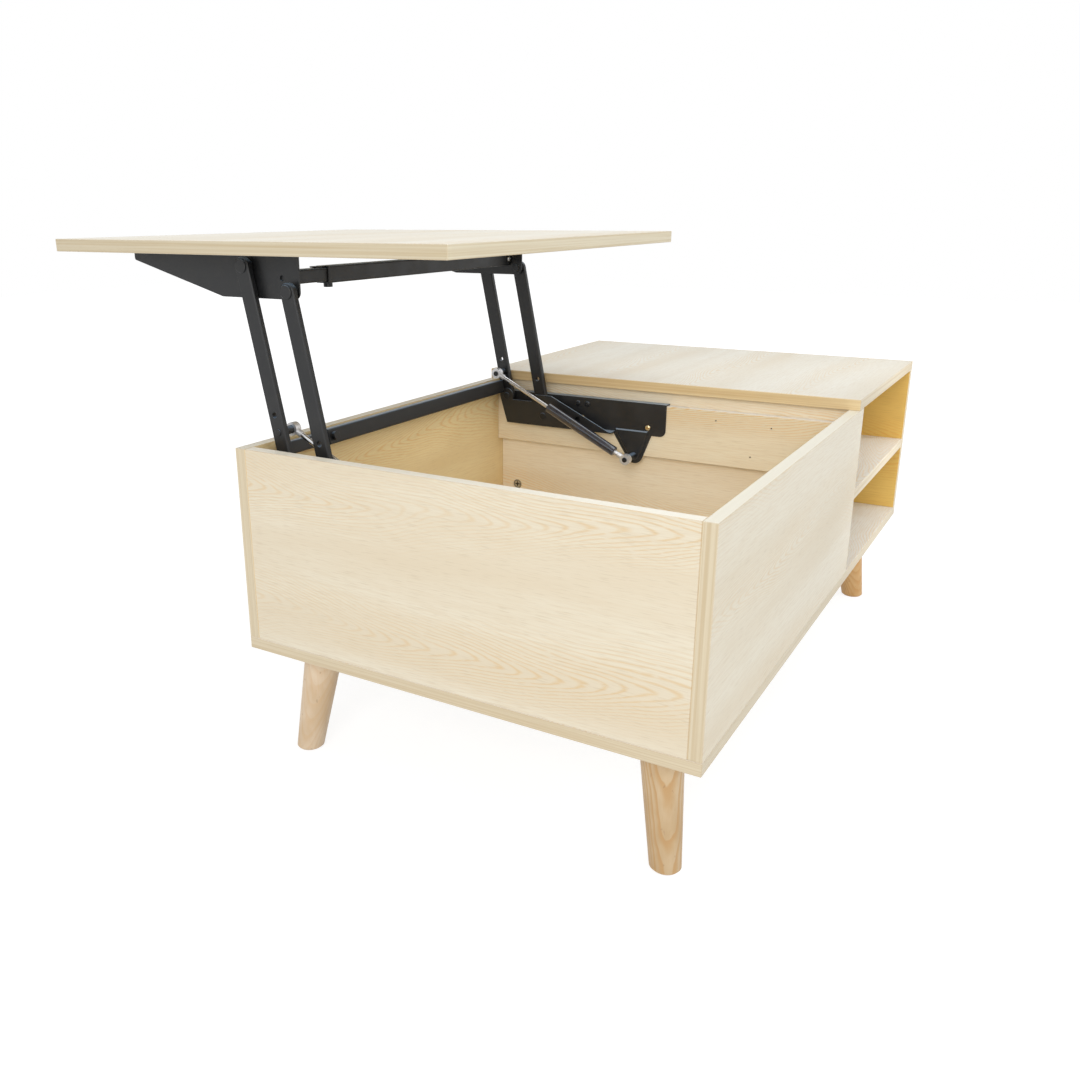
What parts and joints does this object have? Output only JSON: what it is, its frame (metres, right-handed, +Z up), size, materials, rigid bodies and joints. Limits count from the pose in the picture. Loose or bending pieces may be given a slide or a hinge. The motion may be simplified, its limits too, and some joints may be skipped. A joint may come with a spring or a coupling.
{
  "type": "lift top coffee table",
  "caption": "Rectangular coffee table on splayed round legs, with a top that lifts level on a gas spring linkage over a storage bay, beside a fixed top over open shelf bays.",
  "frame": {"origin": "on the floor, at the middle of the footprint of the table with its top raised", "axes": "+X along the case towards the lifting end, +Y from the user's side to the side with the open bays, +Z up"},
  "size_m": [1, 0.86, 0.6323],
  "materials": {
    "board_laminate": "satin pale oak laminate on board",
    "leg_wood": "clear satin lacquer on solid wood",
    "powder_black": "satin black powder coat",
    "spring_black": "gloss black paint",
    "chrome": "bright plated steel",
    "brass_screw": "yellow zinc plated",
    "zinc_hardware": "plain zinc plated"
  },
  "bodies": {
    "case": {"base_bracket_far": "powder_black", "base_bracket_near": "powder_black", "base_screws": "zinc_hardware", "bottom_panel": "board_laminate", "bracket_screws": "brass_screw", "cam_bolts": "zinc_hardware", "cam_locks": "zinc_hardware", "divider_panel": "board_laminate", "end_panel_far": "board_laminate", "end_panel_near": "board_laminate", "fixed_top": "board_laminate", "leg_bolts": "zinc_hardware", "leg_far_shelf": "leg_wood", "leg_far_user": "leg_wood", "leg_inserts": "zinc_hardware", "leg_near_shelf": "leg_wood", "leg_near_user": "leg_wood", "lower_pivot_pins": "powder_black", "mounting_rail_far": "board_laminate", "mounting_rail_near": "board_laminate", "open_stops": "powder_black", "shelf": "board_laminate", "side_panel_shelf": "board_laminate", "side_panel_user": "board_laminate", "top_dowels": "leg_wood"},
    "front_links": {"front_link_near": "powder_black", "front_link_far": "powder_black", "gas_upper_stud_near": "powder_black", "gas_upper_stud_far": "powder_black", "lower_bar_outer_tube": "powder_black", "lower_bar_inner_tube": "powder_black", "lower_bar_clamp_screw": "powder_black"},
    "near_rear_link": {"rear_link_near": "powder_black"},
    "far_rear_link": {"rear_link_far": "powder_black"},
    "lifting_top": {"lift_top": "board_laminate", "top_screws": "zinc_hardware", "upper_pivot_pins": "powder_black", "upper_bar_end_screw": "zinc_hardware", "top_bracket_near": "powder_black", "top_bracket_far": "powder_black", "upper_bar_outer_tube": "powder_black", "upper_bar_inner_tube": "powder_black", "upper_bar_clamp_screw": "powder_black"},
    "near_spring_rod": {"gas_rod_near": "chrome", "gas_upper_eye_near": "chrome"},
    "near_spring_cylinder": {"gas_cylinder_near": "spring_black", "gas_lower_eye_near": "chrome", "gas_lower_stud_near": "powder_black"},
    "far_spring_rod": {"gas_rod_far": "chrome", "gas_upper_eye_far": "chrome"},
    "far_spring_cylinder": {"gas_cylinder_far": "spring_black", "gas_lower_eye_far": "chrome", "gas_lower_stud_far": "powder_black"}
  },
  "joints": [
    {"name": "lift", "type": "hinge", "parent": "case", "child": "front_links", "pos_m": [0, -0.10803, 0.37698], "axis": [-1, 0, 0], "range_deg": [0, 99.5]},
    {"name": "top_level", "type": "hinge", "parent": "front_links", "child": "lifting_top", "pos_m": [0, -0.15627, 0.60391], "axis": [1, 0, 0], "range_deg": [0, 99.5]},
    {"name": "near_rear_swing", "type": "hinge", "parent": "case", "child": "near_rear_link", "pos_m": [0.458, -0.04203, 0.34998], "axis": [-1, 0, 0], "range_deg": [0, 99.5]},
    {"name": "near_spring_swing", "type": "hinge", "parent": "front_links", "child": "near_spring_rod", "pos_m": [0.435, -0.11604, 0.41463], "axis": [1, 0, 0], "range_deg": [0, 102.87]},
    {"name": "near_spring_stroke", "type": "slide", "parent": "near_spring_rod", "child": "near_spring_cylinder", "axis": [0, -0.8934, 0.4493], "range_m": [0, 0.05745]},
    {"name": "far_rear_swing", "type": "hinge", "parent": "case", "child": "far_rear_link", "pos_m": [-0.07, -0.04203, 0.34998], "axis": [-1, 0, 0], "range_deg": [0, 99.5]},
    {"name": "far_spring_swing", "type": "hinge", "parent": "front_links", "child": "far_spring_rod", "pos_m": [-0.047, -0.11604, 0.41463], "axis": [1, 0, 0], "range_deg": [0, 102.87]},
    {"name": "far_spring_stroke", "type": "slide", "parent": "far_spring_rod", "child": "far_spring_cylinder", "axis": [0, -0.8934, 0.4493], "range_m": [0, 0.05745]}
  ],
  "couplings": [
    {"joint": "top_level", "follows": "lift", "ratio": 1},
    {"joint": "near_rear_swing", "follows": "lift", "ratio": 1},
    {"joint": "near_spring_swing", "follows": "lift", "ratio": 1.0334},
    {"joint": "near_spring_stroke", "follows": "lift", "m_per_rad": 0.033026},
    {"joint": "far_rear_swing", "follows": "lift", "ratio": 1},
    {"joint": "far_spring_swing", "follows": "lift", "ratio": 1.0334},
    {"joint": "far_spring_stroke", "follows": "lift", "m_per_rad": 0.033026}
  ]
}
